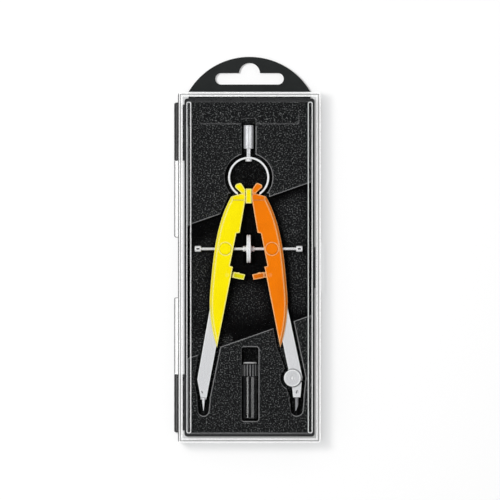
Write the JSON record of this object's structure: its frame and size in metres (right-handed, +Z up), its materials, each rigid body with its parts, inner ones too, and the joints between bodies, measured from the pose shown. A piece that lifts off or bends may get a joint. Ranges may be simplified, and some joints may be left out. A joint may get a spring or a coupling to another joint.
{
  "type": "drafting instrument case",
  "caption": "Flat hinged case with a black base, moulded insert, clear lid and hanging tab, holding a bow compass with coloured legs and a tube of spare leads.",
  "frame": {"origin": "centre of the back face of the base, on the surface that the case lies on", "axes": "+X to the right away from the hinge, +Y towards the hanging tab, +Z up through the clear lid"},
  "size_m": [0.0863, 0.2257, 0.022],
  "materials": {
    "black_plastic": "smooth moulded black",
    "tab_plastic": "matt dark grey sheet",
    "flocked_tray": "fine speckled black",
    "clear_plastic": "clear, polished",
    "yellow_plastic": "satin moulded yellow",
    "orange_plastic": "satin moulded orange",
    "bright_metal": "bright nickel plate",
    "steel": "plain steel",
    "graphite": "dark grey graphite",
    "tube_plastic": "glossy black"
  },
  "bodies": {
    "case": {"case_base": "black_plastic", "insert_tray": "flocked_tray", "hang_tab": "tab_plastic", "spring_ring": "bright_metal", "handle": "bright_metal", "handle_nut": "bright_metal", "head_block": "yellow_plastic", "head_pins": "steel", "lead_tube": "tube_plastic", "spare_leads": "graphite"},
    "lid": {"lid": "clear_plastic"},
    "left_leg": {"left_leg_shell": "yellow_plastic", "left_leg_arm": "bright_metal", "left_leg_rivets": "steel", "left_lever_pin": "steel", "left_lever_spring": "steel", "needle_screw": "steel"},
    "right_leg": {"right_leg_shell": "orange_plastic", "right_leg_arm": "bright_metal", "right_leg_rivets": "steel", "right_lever_pin": "steel", "right_lever_spring": "steel", "knee_nut": "steel"},
    "left_trunnion": {"left_trunnion": "yellow_plastic"},
    "right_trunnion": {"right_trunnion": "orange_plastic"},
    "adjuster": {"spindle": "steel", "thumb_wheel": "bright_metal", "spindle_caps": "bright_metal"},
    "left_lever": {"left_lever": "yellow_plastic"},
    "right_lever": {"right_lever": "orange_plastic"},
    "needle": {"needle": "steel"},
    "lead_holder": {"lead_holder": "bright_metal", "lead_screw": "steel"},
    "lead": {"lead": "graphite"},
    "knee_screw": {"knee_screw": "bright_metal"},
    "tube_cap": {"lead_tube_cap": "tube_plastic"}
  },
  "joints": [
    {"name": "lid_hinge", "type": "hinge", "parent": "case", "child": "lid", "pos_m": [-0.042, 0, 0.0025], "axis": [0, -1, 0], "range_deg": [0, 95]},
    {"name": "wheel_turn", "type": "hinge", "parent": "case", "child": "adjuster", "pos_m": [-0.0005, 0.0109, 0.0115], "axis": [1, 0, 0], "range_deg": [-180, 180]},
    {"name": "left_leg_swing", "type": "hinge", "parent": "case", "child": "left_leg", "pos_m": [-0.0055, 0.04, 0.0115], "axis": [0, 0, 1], "range_deg": [-0.5, 0.5]},
    {"name": "right_leg_swing", "type": "hinge", "parent": "case", "child": "right_leg", "pos_m": [0.0045, 0.04, 0.0115], "axis": [0, 0, 1], "range_deg": [-0.5, 0.5]},
    {"name": "left_trunnion_swivel", "type": "hinge", "parent": "left_leg", "child": "left_trunnion", "pos_m": [-0.0141, 0.0109, 0.0115], "axis": [0, 0, 1], "range_deg": [-0.5, 0.5]},
    {"name": "right_trunnion_swivel", "type": "hinge", "parent": "right_leg", "child": "right_trunnion", "pos_m": [0.0131, 0.0109, 0.0115], "axis": [0, 0, 1], "range_deg": [-0.5, 0.5]},
    {"name": "left_lever_press", "type": "hinge", "parent": "left_leg", "child": "left_lever", "pos_m": [-0.0131, -0.0044, 0.0115], "axis": [0, 0, 1], "range_deg": [0, 8], "stiffness_Nm_per_rad": 0.002},
    {"name": "right_lever_press", "type": "hinge", "parent": "right_leg", "child": "right_lever", "pos_m": [0.0121, -0.0044, 0.0115], "axis": [0, 0, -1], "range_deg": [0, 8], "stiffness_Nm_per_rad": 0.002},
    {"name": "needle_slide", "type": "slide", "parent": "left_leg", "child": "needle", "axis": [0, 1, 0], "range_m": [-0.002, 0.005]},
    {"name": "knee_swivel", "type": "hinge", "parent": "right_leg", "child": "lead_holder", "pos_m": [0.0251, -0.0646, 0.0115], "axis": [0, 0, 1], "range_deg": [-2, 2]},
    {"name": "lead_slide", "type": "slide", "parent": "lead_holder", "child": "lead", "axis": [0, 1, 0], "range_m": [-0.001, 0.0018]},
    {"name": "knee_screw_turn", "type": "hinge", "parent": "right_leg", "child": "knee_screw", "pos_m": [0.0251, -0.0646, 0.0115], "axis": [0, 0, 1], "range_deg": [0, 180]},
    {"name": "tube_cap_pull", "type": "slide", "parent": "case", "child": "tube_cap", "axis": [0, 1, 0], "range_m": [0, 0.0075]}
  ],
  "couplings": [
    {"joint": "left_leg_swing", "follows": "wheel_turn", "ratio": -0.0027346},
    {"joint": "right_leg_swing", "follows": "wheel_turn", "ratio": 0.0027346},
    {"joint": "left_trunnion_swivel", "follows": "wheel_turn", "ratio": 0.0027346},
    {"joint": "right_trunnion_swivel", "follows": "wheel_turn", "ratio": -0.0027346}
  ]
}
